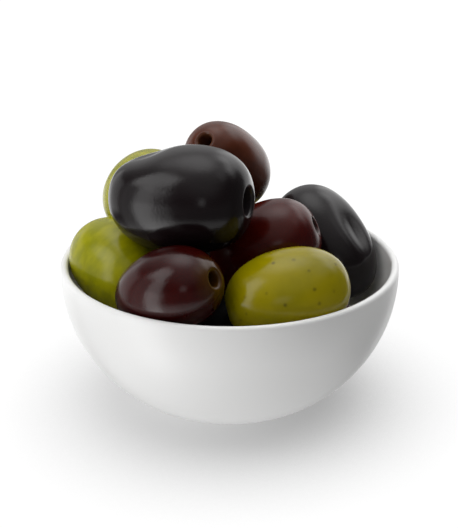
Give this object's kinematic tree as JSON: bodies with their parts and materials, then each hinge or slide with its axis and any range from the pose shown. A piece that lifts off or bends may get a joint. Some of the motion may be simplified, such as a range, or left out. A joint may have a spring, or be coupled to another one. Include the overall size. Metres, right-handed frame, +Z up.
{
  "type": "bowl of olives",
  "caption": "Small white porcelain dip bowl heaped with large pitted table olives in black, purple, brown and green.",
  "frame": {"origin": "middle of the bowl's foot, on the table", "axes": "+Z up out of the bowl, +Y towards the back of the heap, +X to its right"},
  "size_m": [0.075, 0.075, 0.0619],
  "materials": {
    "porcelain": "white porcelain with a soft satin glaze",
    "black_olive": "satin black olive skin, brine-moist",
    "purple_olive": "glossy dark purple-red olive skin",
    "brown_olive": "glossy reddish brown olive skin",
    "green_olive": "glossy olive-green skin, faintly mottled with a few dark specks"
  },
  "bodies": {
    "root": {"bowl": "porcelain", "olive_black_top": "black_olive", "olive_green_back": "green_olive", "olive_green_left": "green_olive", "olive_purple_front": "purple_olive", "olive_green_front": "green_olive", "olive_purple_right": "purple_olive", "olive_brown_top": "brown_olive", "olive_black_dented": "black_olive", "olive_buried_left": "black_olive", "olive_buried_front": "black_olive", "olive_buried_floor": "purple_olive", "olive_buried_middle": "black_olive", "olive_buried_back": "green_olive", "olive_buried_right": "purple_olive"}
  },
  "joints": []
}
